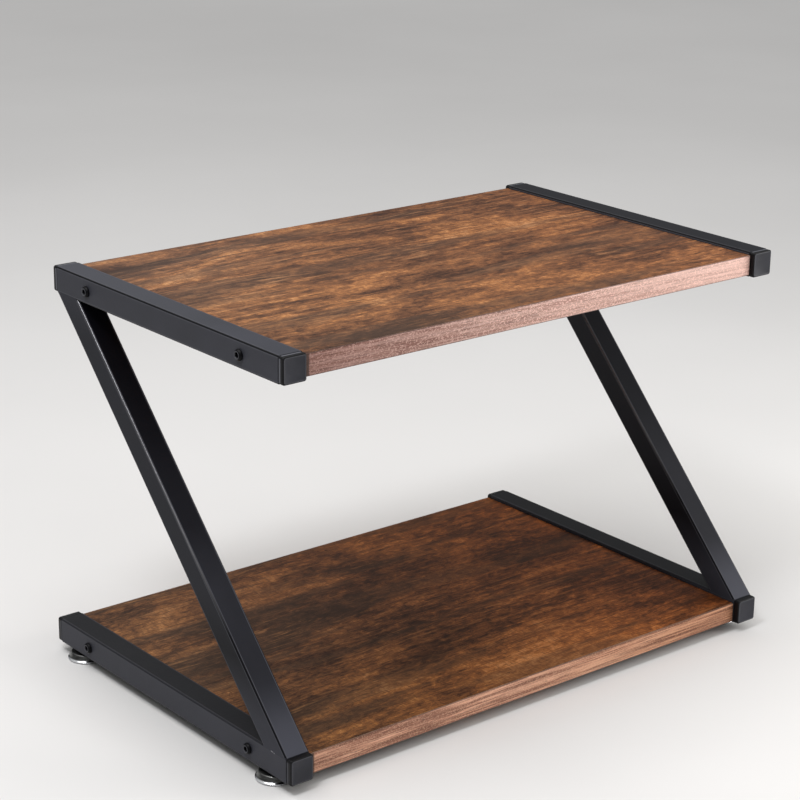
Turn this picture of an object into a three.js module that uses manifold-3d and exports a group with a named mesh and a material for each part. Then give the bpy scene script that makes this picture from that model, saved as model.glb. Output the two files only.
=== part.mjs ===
// Two-tier desktop printer stand: two Z-shaped side frames of welded square steel tube carry two
// laminated boards, each held by four bolts, and stand on four levelling feet.
// Millimetres, +Z up, front towards -Y, left towards -X. The origin is on the floor, midway
// between the side frames and midway along the bottom rails.
import * as THREE from "three";
import { mergeVertices } from "three/addons/utils/BufferGeometryUtils.js";
import Module from "manifold-3d";

// Whole stand
const WIDTH = 590; // over the outer faces of the side frames
const RAIL_TOP = 398; // floor to the top of the top rails
const FOOT_GAP = 10; // floor to the underside of the bottom rails
const GAP = 0.3; // left between pieces that touch

// Square tube
const TUBE = 25;
const WALL = 1.2;
const TUBE_RADIUS = 1.8; // outer corners
const BORE_RADIUS = 0.6; // inner corners
const CORNER_STEPS = 2;
const INNER_STEPS = 1;

// Rails along Y: the tube itself, without its end caps
const TOP_RAIL = { front: -177, rear: 171, underside: RAIL_TOP - TUBE };
const BOTTOM_RAIL = { front: -186.5, rear: 186.5, underside: FOOT_GAP };

// End caps: a head the size of the tube and a ribbed plug inside it
const CAP_HEAD = 7;
const CAP_BEVEL = 1.1;
const CAP_SHRINK = 0.2; // the head is this much narrower than the tube on each side
const CAP_RADIUS = 1.4;
const PLUG = { size: 20.6, length: 13, radius: 1 };
const PLUG_RIB = { size: 22, thickness: 1.4, pitch: 5, count: 2 };

// Boards
const BOARD_THICK = 20;
const TOP_DROP = 3; // top of the upper board below the top of its rails
const BOTTOM_DROP = 3.5; // the same on the lower board
const BAND = 1; // edge band thickness
const BAND_GAP = 0.1;
const TOP_BOARD = { front: -179, rear: 175, top: RAIL_TOP - TOP_DROP };
const BOTTOM_BOARD = { front: -186.5, rear: 191.5, top: FOOT_GAP + TUBE - BOTTOM_DROP };

// M6 button-head bolts through the rails into threaded inserts in the boards' ends
const BOLT_INSET = 56; // from a board's front and rear edges
const BOLT = { head: 10.5, rise: 3.3, face: 5.6, shank: 5.8, length: 37.5, socket: 4, socketDepth: 2.2 };
const BOLT_HOLE = 6.6;
const INSERT = { outer: 9.6, bore: 6.4, length: 14, ridge: 0.5, ridges: 3, chamfer: 0.6 };
const INSERT_HOLE = { diameter: 10.2, depth: 16 };

// Levelling feet, M8: chrome cup, rubber pad, stud, and a rivet nut in the rail's underside
const FOOT_Y = { front: -154, rear: 161 };
const CUP = { lip: 18.5, skirt: 16.2, crown: 11, top: 8.2, lipBottom: 0.8, lipTop: 1.7, skirtFoot: 3.2 };
const CUP_WALL = 1;
const PAD = { radius: 14.6, height: 4.2, bevel: 0.5 };
const STUD = { diameter: 7.8, top: 30.5, chamfer: 0.8, flange: 6.2, flangeBottom: 5.5, flangeTop: 6.9 };
const STUD_CLEARANCE = 0.3; // radial, where the stud passes the cup
const NUT = { flange: 7.4, flangeThick: 1, body: 5.4, bulge: 6.8, bore: 4.15, length: 15 };
const NUT_HOLE = 11.2;

const ROUND_FINE = 20;
const ROUND = 14;
const ROUND_COARSE = 10;

const wasm = await Module();
wasm.setup();

const steel = { color: 0x2e2f34, roughness: 0.55, metalness: 0.2 };
const capPlastic = { color: 0x26262a, roughness: 0.5, metalness: 0 };
const boardLaminate = { color: 0x8a5a38, roughness: 0.6, metalness: 0 };
const bandPlastic = { color: 0xb98a78, roughness: 0.6, metalness: 0 };
const blackOxide = { color: 0x1d1d20, roughness: 0.45, metalness: 0.8 };
const zinc = { color: 0xa9abad, roughness: 0.4, metalness: 0.9 };
const chrome = { color: 0xd8dadd, roughness: 0.12, metalness: 1 };
const rubber = { color: 0x1a1a1a, roughness: 0.85, metalness: 0 };

// A closed geometry as a solid that can be joined and cut
function solidOf(geometry) {
  const bare = geometry.index ? geometry.toNonIndexed() : geometry.clone();
  bare.deleteAttribute("normal");
  bare.deleteAttribute("uv");
  const merged = mergeVertices(bare, 1e-4);
  const vertProperties = new Float32Array(merged.attributes.position.array);
  const triVerts = new Uint32Array(merged.index.array);
  return new wasm.Manifold(new wasm.Mesh({ numProp: 3, vertProperties, triVerts }));
}

function geometryOf(solid) {
  const { numProp, vertProperties, triVerts } = solid.getMesh();
  const geometry = new THREE.BufferGeometry();
  const count = vertProperties.length / numProp;
  const positions = new Float32Array(count * 3);
  for (let i = 0; i < count; i += 1) {
    for (let k = 0; k < 3; k += 1) positions[i * 3 + k] = vertProperties[i * numProp + k];
  }
  geometry.setAttribute("position", new THREE.BufferAttribute(positions, 3));
  geometry.setIndex(Array.from(triVerts));
  geometry.computeVertexNormals();
  return geometry;
}

function makeMesh(name, geometry, finish) {
  const mesh = new THREE.Mesh(geometry, new THREE.MeshStandardMaterial(finish));
  mesh.name = name;
  return mesh;
}

// A square outline with rounded corners, centred on the origin
function roundedSquare(Path, size, radius) {
  const half = size / 2;
  const inner = half - radius;
  const outline = new Path();
  outline.moveTo(half, -inner);
  outline.absarc(inner, inner, radius, 0, Math.PI / 2);
  outline.absarc(-inner, inner, radius, Math.PI / 2, Math.PI);
  outline.absarc(-inner, -inner, radius, Math.PI, Math.PI * 1.5);
  outline.absarc(inner, -inner, radius, Math.PI * 1.5, Math.PI * 2);
  return outline;
}

function squareBar(size, radius, length) {
  const shape = roundedSquare(THREE.Shape, size, radius);
  return new THREE.ExtrudeGeometry(shape, { depth: length, bevelEnabled: false, curveSegments: INNER_STEPS });
}

// Hollow square tube along +Z, starting at z = 0
function squareTube(length) {
  const shape = roundedSquare(THREE.Shape, TUBE, TUBE_RADIUS);
  shape.holes.push(roundedSquare(THREE.Path, TUBE - 2 * WALL, BORE_RADIUS));
  return new THREE.ExtrudeGeometry(shape, { depth: length, bevelEnabled: false, curveSegments: CORNER_STEPS });
}

// A round bar from one point to another, used to drill holes
function drill(diameter, from, to, steps) {
  const start = new THREE.Vector3(...from);
  const end = new THREE.Vector3(...to);
  const along = end.clone().sub(start);
  const bar = new THREE.CylinderGeometry(diameter / 2, diameter / 2, along.length(), steps);
  const turn = new THREE.Quaternion().setFromUnitVectors(new THREE.Vector3(0, 1, 0), along.normalize());
  bar.applyQuaternion(turn);
  bar.translate(...start.add(end).multiplyScalar(0.5).toArray());
  return solidOf(bar);
}

// A turned piece: [radius, height] pairs, revolved about +Z
function turned(profile, steps) {
  const points = profile.map(([radius, height]) => new THREE.Vector2(radius, height));
  const geometry = new THREE.LatheGeometry(points, steps);
  geometry.rotateX(Math.PI / 2);
  return geometry;
}

const sides = [
  { name: "left", sign: -1 },
  { name: "right", sign: 1 },
];
const levels = [
  { name: "top", rail: TOP_RAIL, board: TOP_BOARD },
  { name: "bottom", rail: BOTTOM_RAIL, board: BOTTOM_BOARD },
];
const ends = [
  { name: "front", sign: -1 },
  { name: "rear", sign: 1 },
];
const railX = WIDTH / 2 - TUBE / 2;
const boltY = (board, end) => board[end.name] - end.sign * BOLT_INSET;
const railCentre = (rail) => rail.underside + TUBE / 2;

const stand = new THREE.Group();

// Rails, with holes for the bolts and, below, for the rivet nuts
function makeRail(side, level) {
  const { rail, board } = level;
  const tube = squareTube(rail.rear - rail.front);
  tube.rotateX(-Math.PI / 2);
  tube.translate(side.sign * railX, rail.front, railCentre(rail));
  let solid = solidOf(tube);
  for (const end of ends) {
    const y = boltY(board, end);
    const reach = TUBE;
    const x = side.sign * railX;
    const z = railCentre(rail);
    solid = solid.subtract(drill(BOLT_HOLE, [x - reach, y, z], [x + reach, y, z], ROUND_COARSE));
    if (level.name === "bottom") {
      const foot = FOOT_Y[end.name];
      const floor = [x, foot, 0];
      const inside = [x, foot, z];
      solid = solid.subtract(drill(NUT_HOLE, floor, inside, ROUND));
    }
  }
  return makeMesh(`${side.name}_${level.name}_rail`, geometryOf(solid), steel);
}

// The leg leans back from the front end of the bottom rail to the rear end of the top rail, and
// is mitred flat where it meets them
function makeLeg(side) {
  const low = BOTTOM_RAIL.underside + TUBE;
  const high = TOP_RAIL.underside;
  const run = TOP_RAIL.rear - BOTTOM_RAIL.front;
  const rise = high - low;
  const lean = Math.atan2(run, rise) - Math.asin(TUBE / Math.hypot(run, rise));
  const length = Math.hypot(run, rise) + 4 * TUBE;
  const tube = squareTube(length);
  tube.translate(0, 0, -length / 2);
  tube.rotateX(-lean);
  const middle = (BOTTOM_RAIL.front + TOP_RAIL.rear) / 2;
  tube.translate(side.sign * railX, middle, (low + high) / 2);
  const slab = new THREE.BoxGeometry(2 * TUBE, 2 * run, rise - 2 * GAP);
  slab.translate(side.sign * railX, middle, (low + high) / 2);
  const solid = solidOf(tube).intersect(solidOf(slab));
  return makeMesh(`${side.name}_diagonal_leg`, geometryOf(solid), steel);
}

// A cap pointing along +Z: the plug below z = 0, the head above it
function capGeometry() {
  const headSize = TUBE - 2 * CAP_SHRINK - 2 * CAP_BEVEL;
  const outline = roundedSquare(THREE.Shape, headSize, CAP_RADIUS);
  const head = new THREE.ExtrudeGeometry(outline, {
    depth: CAP_HEAD,
    curveSegments: INNER_STEPS,
    bevelThickness: CAP_BEVEL,
    bevelSize: CAP_BEVEL,
    bevelSegments: 1,
  });
  head.translate(0, 0, -CAP_BEVEL);
  const keep = new THREE.BoxGeometry(TUBE, TUBE, CAP_HEAD - GAP);
  keep.translate(0, 0, (CAP_HEAD + GAP) / 2);
  let solid = solidOf(head).intersect(solidOf(keep));
  const plug = squareBar(PLUG.size, PLUG.radius, PLUG.length + GAP + 1);
  plug.translate(0, 0, -PLUG.length);
  solid = solid.add(solidOf(plug));
  for (let i = 0; i < PLUG_RIB.count; i += 1) {
    const rib = squareBar(PLUG_RIB.size, PLUG.radius, PLUG_RIB.thickness);
    rib.translate(0, 0, -PLUG_RIB.pitch * (i + 1));
    solid = solid.add(solidOf(rib));
  }
  return geometryOf(solid);
}

function makeCaps(side, level) {
  return ends.map((end) => {
    const name = `${side.name}_${level.name}_${end.name}_cap`;
    const cap = makeMesh(name, capGeometry(), capPlastic);
    cap.rotation.x = (-end.sign * Math.PI) / 2;
    cap.position.set(side.sign * railX, level.rail[end.name], railCentre(level.rail));
    return cap;
  });
}

// A board's core between its two edge bands, bored at both ends for the inserts
function makeBoard(level) {
  const { board, rail } = level;
  const endX = WIDTH / 2 - TUBE - GAP;
  const depth = board.rear - board.front - 2 * (BAND + BAND_GAP);
  const middleY = (board.front + board.rear) / 2;
  const middleZ = board.top - BOARD_THICK / 2;
  const core = new THREE.BoxGeometry(2 * endX, depth, BOARD_THICK);
  core.translate(0, middleY, middleZ);
  let solid = solidOf(core);
  for (const side of sides) {
    for (const end of ends) {
      const y = boltY(board, end);
      const z = railCentre(rail);
      const mouth = [side.sign * (endX + 1), y, z];
      const bottom = [side.sign * (endX - INSERT_HOLE.depth), y, z];
      solid = solid.subtract(drill(INSERT_HOLE.diameter, mouth, bottom, ROUND_COARSE));
    }
  }
  const name = level.name === "top" ? "upper" : "lower";
  const pieces = [makeMesh(`${name}_shelf_board`, geometryOf(solid), boardLaminate)];
  for (const end of ends) {
    const band = new THREE.BoxGeometry(2 * endX, BAND, BOARD_THICK);
    const y = board[end.name] - (end.sign * BAND) / 2;
    band.translate(0, y, middleZ);
    pieces.push(makeMesh(`${name}_shelf_${end.name}_band`, band, bandPlastic));
  }
  return pieces;
}

// A button-head bolt along +Z: head above z = 0, shank below
function boltGeometry() {
  const profile = [
    [0, -BOLT.length],
    [BOLT.shank / 2 - 0.6, -BOLT.length],
    [BOLT.shank / 2, -BOLT.length + 0.6],
    [BOLT.shank / 2, 0],
    [BOLT.head / 2, 0],
    [BOLT.head / 2, BOLT.rise * 0.25],
    [BOLT.head / 2 - 0.8, BOLT.rise * 0.7],
    [BOLT.face / 2, BOLT.rise],
    [0, BOLT.rise],
  ];
  const socket = new THREE.CylinderGeometry(BOLT.socket / 2 / Math.cos(Math.PI / 6),
    BOLT.socket / 2 / Math.cos(Math.PI / 6), 2 * BOLT.socketDepth, 6);
  socket.rotateX(Math.PI / 2);
  socket.translate(0, 0, BOLT.rise);
  return geometryOf(solidOf(turned(profile, ROUND)).subtract(solidOf(socket)));
}

// A threaded insert along +Z from z = 0, with holding ridges round it
function insertGeometry() {
  const { outer, bore, length, ridge, ridges, chamfer } = INSERT;
  const profile = [[bore / 2, 0], [outer / 2 - chamfer, 0]];
  const pitch = length / ridges;
  for (let i = 0; i < ridges; i += 1) {
    profile.push([outer / 2, pitch * (i + 0.5)]);
    if (i < ridges - 1) profile.push([outer / 2 - ridge, pitch * (i + 1)]);
  }
  profile.push([outer / 2 - chamfer, length], [bore / 2, length], [bore / 2, 0]);
  return turned(profile, ROUND_COARSE);
}

function makeFastenings(side, level) {
  const pieces = [];
  for (const end of ends) {
    const y = boltY(level.board, end);
    const z = railCentre(level.rail);
    const name = `${side.name}_${level.name}_${end.name}`;
    const bolt = makeMesh(`${name}_bolt`, boltGeometry(), blackOxide);
    bolt.rotation.y = (side.sign * Math.PI) / 2;
    bolt.position.set(side.sign * (WIDTH / 2 + GAP), y, z);
    const insert = makeMesh(`${name}_insert`, insertGeometry(), zinc);
    insert.rotation.y = (-side.sign * Math.PI) / 2;
    insert.position.set(side.sign * (WIDTH / 2 - TUBE - 2 * GAP), y, z);
    pieces.push(bolt, insert);
  }
  return pieces;
}

// The cup is a pressed shell: flat crown, rounded shoulder, skirt and a flared lip
function cupGeometry() {
  const { lip, skirt, crown, top, lipBottom, lipTop, skirtFoot } = CUP;
  const hole = STUD.diameter / 2 + STUD_CLEARANCE;
  const shoulder = (skirt + crown) / 2 + 1.4;
  return turned([
    [hole, top - CUP_WALL],
    [crown - 0.4, top - CUP_WALL],
    [shoulder - CUP_WALL, top - 2.2],
    [skirt - CUP_WALL, skirtFoot + 0.4],
    [skirt - CUP_WALL + 0.6, lipBottom + 1],
    [lip - CUP_WALL, lipBottom],
    [lip, lipBottom],
    [lip, lipTop],
    [skirt + 0.4, skirtFoot],
    [skirt - 0.6, (top + skirtFoot) / 2],
    [shoulder, top - 1],
    [crown, top],
    [hole, top],
    [hole, top - CUP_WALL],
  ], ROUND_FINE);
}

function padGeometry() {
  return turned([
    [0, 0],
    [PAD.radius - PAD.bevel, 0],
    [PAD.radius, PAD.bevel],
    [PAD.radius - PAD.bevel, PAD.height],
    [0, PAD.height],
  ], ROUND_FINE);
}

function studGeometry() {
  const radius = STUD.diameter / 2;
  return turned([
    [0, STUD.flangeBottom],
    [STUD.flange, STUD.flangeBottom],
    [STUD.flange, STUD.flangeTop],
    [radius, STUD.flangeTop],
    [radius, STUD.top - STUD.chamfer],
    [radius - STUD.chamfer, STUD.top],
    [0, STUD.top],
  ], ROUND);
}

// The rivet nut hangs from the rail's lower wall: flange below, bulge above
function nutGeometry() {
  const wallTop = FOOT_GAP + WALL + GAP;
  const bottom = FOOT_GAP - NUT.flangeThick;
  return turned([
    [NUT.bore, bottom],
    [NUT.flange, bottom],
    [NUT.flange, FOOT_GAP - GAP / 2],
    [NUT.body, FOOT_GAP - GAP / 2],
    [NUT.body, wallTop],
    [NUT.bulge, wallTop],
    [NUT.body, wallTop + 2.5],
    [NUT.body, bottom + NUT.length],
    [NUT.bore, bottom + NUT.length],
    [NUT.bore, bottom],
  ], ROUND);
}

function makeFoot(side, end) {
  const name = `${end.name}_${side.name}_foot`;
  const pieces = [
    makeMesh(`${name}_cup`, cupGeometry(), chrome),
    makeMesh(`${name}_pad`, padGeometry(), rubber),
    makeMesh(`${name}_stud`, studGeometry(), zinc),
    makeMesh(`${name}_nut`, nutGeometry(), zinc),
  ];
  for (const piece of pieces) piece.position.set(side.sign * railX, FOOT_Y[end.name], 0);
  return pieces;
}

for (const side of sides) {
  for (const level of levels) {
    stand.add(makeRail(side, level), ...makeCaps(side, level), ...makeFastenings(side, level));
  }
  stand.add(makeLeg(side));
  for (const end of ends) stand.add(...makeFoot(side, end));
}
for (const level of levels) stand.add(...makeBoard(level));

export default stand;
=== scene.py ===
"""Looks of the two-tier printer stand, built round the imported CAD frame. Metres, +Z up, front towards -Y."""
import math

import bmesh
import bpy
from mathutils import Matrix, Vector, noise


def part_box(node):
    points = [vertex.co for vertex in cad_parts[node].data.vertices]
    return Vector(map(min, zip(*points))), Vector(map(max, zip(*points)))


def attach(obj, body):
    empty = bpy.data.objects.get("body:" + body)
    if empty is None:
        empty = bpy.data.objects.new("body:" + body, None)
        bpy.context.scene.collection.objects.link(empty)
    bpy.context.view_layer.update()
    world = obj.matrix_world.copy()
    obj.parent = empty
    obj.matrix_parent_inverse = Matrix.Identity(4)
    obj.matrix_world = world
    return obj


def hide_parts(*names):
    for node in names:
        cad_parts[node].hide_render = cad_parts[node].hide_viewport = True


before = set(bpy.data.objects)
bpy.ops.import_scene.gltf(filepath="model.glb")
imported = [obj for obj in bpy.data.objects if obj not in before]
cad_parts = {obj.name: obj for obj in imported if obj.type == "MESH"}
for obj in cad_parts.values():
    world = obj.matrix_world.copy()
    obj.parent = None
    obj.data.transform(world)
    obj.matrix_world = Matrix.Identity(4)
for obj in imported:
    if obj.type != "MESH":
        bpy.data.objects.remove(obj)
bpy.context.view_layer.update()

MM = 0.001
HALF_WIDTH = 0.3
# Tones over less than a centimetre are ramped in centimetres
CENTIMETRES_PER_METRE = 100
# Each side's sign along X, each end's sign along Y, and which board each level of rails carries
SIDES = {"left": -1, "right": 1}
ENDS = {"front": -1, "rear": 1}
LEVELS = {"top": "upper", "bottom": "lower"}


# ---------------------------------------------------------------- camera, lights and floor

def make_camera():
    azimuth, elevation, roll = math.radians(-39.4), math.radians(18.44), math.radians(0.8)
    aim = Vector((0.0923, 0.1363, 0.1987))
    distance = 2.3586
    back = Vector((
        math.sin(azimuth) * math.cos(elevation),
        -math.cos(azimuth) * math.cos(elevation),
        math.sin(elevation),
    ))
    right = (-back).cross(Vector((0, 0, 1))).normalized()
    up = right.cross(-back)
    axis_x = right * math.cos(roll) + up * math.sin(roll)
    axis_y = up * math.cos(roll) - right * math.sin(roll)
    data = bpy.data.cameras.new("camera")
    data.lens = 100.93
    data.sensor_width = 36
    camera = bpy.data.objects.new("camera", data)
    turn = Matrix((axis_x, axis_y, back)).transposed()
    camera.matrix_world = Matrix.Translation(aim + back * distance) @ turn.to_4x4()
    bpy.context.scene.collection.objects.link(camera)
    bpy.context.scene.camera = camera


def area_light(name, place, target, size, power, colour):
    data = bpy.data.lights.new(name, "AREA")
    data.shape = "RECTANGLE"
    data.size, data.size_y = size
    data.energy = power
    data.color = colour
    lamp = bpy.data.objects.new(name, data)
    lamp.visible_camera = False
    aim = Vector(target) - Vector(place)
    lamp.matrix_world = Matrix.Translation(place) @ aim.to_track_quat("-Z", "Y").to_matrix().to_4x4()
    bpy.context.scene.collection.objects.link(lamp)


def make_world():
    """An even studio dome, dimmer towards the horizon so that bright metal has something to mirror."""
    world = bpy.data.worlds.new("studio")
    bpy.context.scene.world = world
    world.use_nodes = True
    nodes, links = world.node_tree.nodes, world.node_tree.links
    height = nodes.new("ShaderNodeSeparateXYZ")
    ramp = nodes.new("ShaderNodeValToRGB")
    low, high = ramp.color_ramp.elements
    low.position, low.color = 0.20, (0.10, 0.105, 0.11, 1)
    high.position, high.color = 0.80, (1.0, 1.0, 1.0, 1)
    links.new(nodes.new("ShaderNodeTexCoord").outputs["Generated"], height.inputs[0])
    links.new(height.outputs["Z"], ramp.inputs["Fac"])
    links.new(ramp.outputs["Color"], nodes["Background"].inputs["Color"])
    nodes["Background"].inputs["Strength"].default_value = 0.80


def make_studio():
    make_world()
    bpy.context.scene.view_settings.view_transform = "Standard"
    area_light("key", (1.15, -1.0, 0.62), (0.05, -0.1, 0.2), (1.0, 0.8), 12, (1, 0.98, 0.95))
    area_light("fill", (-1.15, -0.45, 2.05), (-0.2, 0, 0.2), (0.45, 0.45), 12, (0.94, 0.96, 1))
    area_light("top", (-0.6, 0.1, 2.3), (-0.1, 0, 0.2), (1.6, 1.6), 25, (1, 0.99, 0.98))
    area_light("window", (0.65, 1.95, 1.0), (-0.28, 0, 0.4), (0.8, 0.6), 0.8, (0.97, 0.98, 1))
    bpy.ops.mesh.primitive_plane_add(size=16, location=(0, 0, 0))
    floor = bpy.context.object
    floor.name = "studio_floor"
    floor.data.materials.append(floor_material())


# ---------------------------------------------------------------- materials

class Shader:
    """A node material under construction: a Principled surface and short ways to add nodes."""

    def __init__(self, name, roughness=0.5, metallic=0.0, specular=0.5):
        self.material = bpy.data.materials.new(name)
        self.material.use_nodes = True
        self.nodes = self.material.node_tree.nodes
        self.links = self.material.node_tree.links
        self.surface = self.nodes["Principled BSDF"]
        self.surface.inputs["Roughness"].default_value = roughness
        self.surface.inputs["Metallic"].default_value = metallic
        self.surface.inputs["Specular IOR Level"].default_value = specular
        self.place = self.nodes.new("ShaderNodeTexCoord").outputs["Object"]

    def link(self, source, target):
        """Links a socket to the target, or sets a plain value on it."""
        if hasattr(source, "links"):
            self.links.new(source, target)
        else:
            target.default_value = source

    def scaled(self, scale, shift=(0, 0, 0), source=None):
        node = self.nodes.new("ShaderNodeMapping")
        node.inputs["Location"].default_value = shift
        node.inputs["Scale"].default_value = scale
        self.link(source or self.place, node.inputs["Vector"])
        return node.outputs["Vector"]

    def noise(self, scale, detail=3, rough=0.5, source=None, distort=0.0, shift=(0, 0, 0)):
        """scale is one number, or three for a grain that runs along an axis."""
        node = self.nodes.new("ShaderNodeTexNoise")
        if isinstance(scale, (int, float)):
            scale = (scale, scale, scale)
        self.link(self.scaled(scale, shift, source), node.inputs["Vector"])
        node.inputs["Scale"].default_value = 1
        node.inputs["Detail"].default_value = detail
        node.inputs["Roughness"].default_value = rough
        node.inputs["Distortion"].default_value = distort
        return node.outputs["Fac"]

    def ramp(self, source, stops, interpolation="LINEAR"):
        """stops are (position, value or colour)."""
        node = self.nodes.new("ShaderNodeValToRGB")
        node.color_ramp.interpolation = interpolation
        points = node.color_ramp.elements
        while len(points) < len(stops):
            points.new(0.5)
        for point, (position, value) in zip(points, stops):
            point.position = position
            point.color = (*value, 1) if isinstance(value, tuple) else (value, value, value, 1)
        self.link(source, node.inputs["Fac"])
        return node.outputs["Color"]

    def math(self, kind, *values):
        node = self.nodes.new("ShaderNodeMath")
        node.operation = kind
        for value, socket in zip(values, node.inputs):
            self.link(value, socket)
        return node.outputs[0]

    def mix(self, factor, a, b, blend="MIX"):
        node = self.nodes.new("ShaderNodeMix")
        node.data_type = "RGBA"
        node.blend_type = blend
        self.link(factor, node.inputs["Factor"])
        for value, socket in ((a, node.inputs[6]), (b, node.inputs[7])):
            self.link((*value, 1) if isinstance(value, tuple) else value, socket)
        return node.outputs[2]

    def attribute(self, name):
        node = self.nodes.new("ShaderNodeAttribute")
        node.attribute_name = name
        return node.outputs["Fac"]

    def axis(self, index, source=None):
        node = self.nodes.new("ShaderNodeSeparateXYZ")
        self.link(source or self.place, node.inputs[0])
        return node.outputs[index]

    def from_left(self):
        """Metres along X from about the stand's left side, because a ramp needs positive numbers."""
        return self.math("ADD", self.axis(0), HALF_WIDTH)

    def facing(self, index):
        """How squarely a face points along an axis, from 0 to 1."""
        normal = self.nodes.new("ShaderNodeNewGeometry").outputs["Normal"]
        return self.math("ABSOLUTE", self.axis(index, normal))

    def bump(self, height, distance, strength=1.0, below=None):
        node = self.nodes.new("ShaderNodeBump")
        node.inputs["Strength"].default_value = strength
        node.inputs["Distance"].default_value = distance
        self.link(height, node.inputs["Height"])
        if below:
            self.link(below, node.inputs["Normal"])
        return node.outputs["Normal"]

    def finish(self, colour=None, roughness=None, normal=None):
        for value, socket in ((colour, "Base Color"), (roughness, "Roughness"), (normal, "Normal")):
            if value is not None:
                self.link(value, self.surface.inputs[socket])
        return self.material


def floor_material():
    s = Shader("studio_floor", roughness=0.75, specular=0.25)
    tone = s.ramp(s.noise(1.2, detail=4), [(0.3, (0.71, 0.70, 0.69)), (0.7, (0.75, 0.74, 0.73))])
    return s.finish(tone, s.ramp(s.noise(9), [(0.3, 0.7), (0.7, 0.8)]))


def corner_highlights_and_shade(s, base, pale, dark):
    """Corners get a painted shade crest between two thin painted highlight lines, from the mesh's edge
    attribute.
    """
    edge = s.attribute("edge")
    base = s.mix(s.ramp(edge, [(0.0, 0.0), (0.3, 0.85), (0.55, 0.0)]), base, pale)
    return s.mix(s.ramp(edge, [(0.45, 0.0), (0.8, 1.0)]), base, dark)


def leg_painted_light_and_shade(s, base):
    """Painted light and shade on the legs: the sloping faces get a painted highlight at the foot, painted
    shade up to the head and a lighter painted reflection near 0.15 m; the flanks get painted shade, darkest
    low down.
    """
    height = s.axis(2)
    foot_highlight = s.ramp(height, [(0.03, 1.0), (0.09, 0.0)])
    slope_base = s.mix(foot_highlight, base, (0.062, 0.064, 0.080))
    slope_shade = s.ramp(height, [
        (0.03, 0.0), (0.055, 0.05), (0.085, 0.58), (0.15, 0.48), (0.20, 0.75), (0.32, 1.0),
    ])
    flank_shade = s.ramp(height, [
        (0.055, 0.0), (0.075, 0.35), (0.105, 0.85), (0.15, 0.58), (0.34, 0.5), (0.37, 0.2),
    ])
    flank = s.ramp(s.facing(0), [(0.3, 0.0), (0.7, 1.0)])
    base = s.mix(flank, slope_base, base)
    # Both mixes darken towards near-black: painted shade
    return s.mix(s.mix(flank, slope_shade, flank_shade), base, (0.0025, 0.0025, 0.004))


def powder_coat(name, specular, pale, crest, top_shade=None):
    """Satin black powder coat: fine orange peel, slight clouding, painted highlight and shade lines on the
    tube's corners.

    top_shade is how much painted shade darkens a rail's top, along X from the left. Without it the coat is a
    leg's, with the legs' painted light and shade."""
    s = Shader(name, specular=specular)
    cloud = s.noise(14, detail=5, rough=0.6)
    fine = s.noise(900, detail=2)
    base = s.ramp(cloud, [(0.3, (0.033, 0.034, 0.042)), (0.7, (0.045, 0.046, 0.057))])
    rough = s.math("ADD", s.ramp(cloud, [(0.3, 0.38), (0.7, 0.46)]), s.math("MULTIPLY", fine, 0.06))
    if top_shade:
        # Painted shade on the tops of the rails, ramped along X from the left
        faces_up = s.ramp(s.facing(2), [(0.6, 0.0), (0.95, 1.0)])
        top_shade_mask = s.math("MULTIPLY", s.ramp(s.from_left(), top_shade), faces_up)
        base = s.mix(top_shade_mask, base, (0.003, 0.003, 0.004))
    else:
        base = leg_painted_light_and_shade(s, base)
        # Above about 0.2 m the corners' crest is pale, smoother and part metallic: partly worn bare steel that
        # catches the fill lamp, partly a painted highlight in its pale colour
        shine_height = s.ramp(s.axis(2), [(0.12, 0.0), (0.20, 1.0)])
        crest = s.mix(shine_height, crest, (0.150, 0.148, 0.156))
        rubbed = s.math("MULTIPLY", shine_height, s.ramp(s.attribute("edge"), [(0.5, 0.0), (0.75, 0.8)]))
        rough = s.mix(rubbed, rough, (0.26, 0.26, 0.26))
        s.link(rubbed, s.surface.inputs["Metallic"])
    speck = s.ramp(s.noise(420, detail=4, rough=0.7), [(0.66, 0.0), (0.74, 1.0)])
    base = s.mix(s.math("MULTIPLY", speck, 0.12), base, (0.08, 0.08, 0.09))
    # Painted highlight lines and a painted shade crest on the corners
    base = corner_highlights_and_shade(s, base, pale, crest)
    peel = s.noise(520, detail=3, rough=0.55)
    normal = s.bump(peel, 0.00022, 0.3, s.bump(fine, 0.00006, 0.4))
    return s.finish(base, rough, normal)


def cap_plastic():
    """Black moulded polythene with a fine spark-eroded grain."""
    s = Shader("cap_plastic", specular=0.22)
    grain = s.noise(1500, detail=3, rough=0.65)
    cloud = s.noise(45, detail=4)
    base = s.ramp(cloud, [(0.3, (0.024, 0.025, 0.031)), (0.7, (0.040, 0.041, 0.051))])
    # Painted highlight lines and painted shade crests on the cap's edges
    base = corner_highlights_and_shade(s, base, (0.110, 0.112, 0.128), (0.002, 0.002, 0.003))
    rough = s.ramp(cloud, [(0.3, 0.40), (0.7, 0.54)])
    return s.finish(base, rough, s.bump(grain, 0.00012, 0.45))


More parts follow.
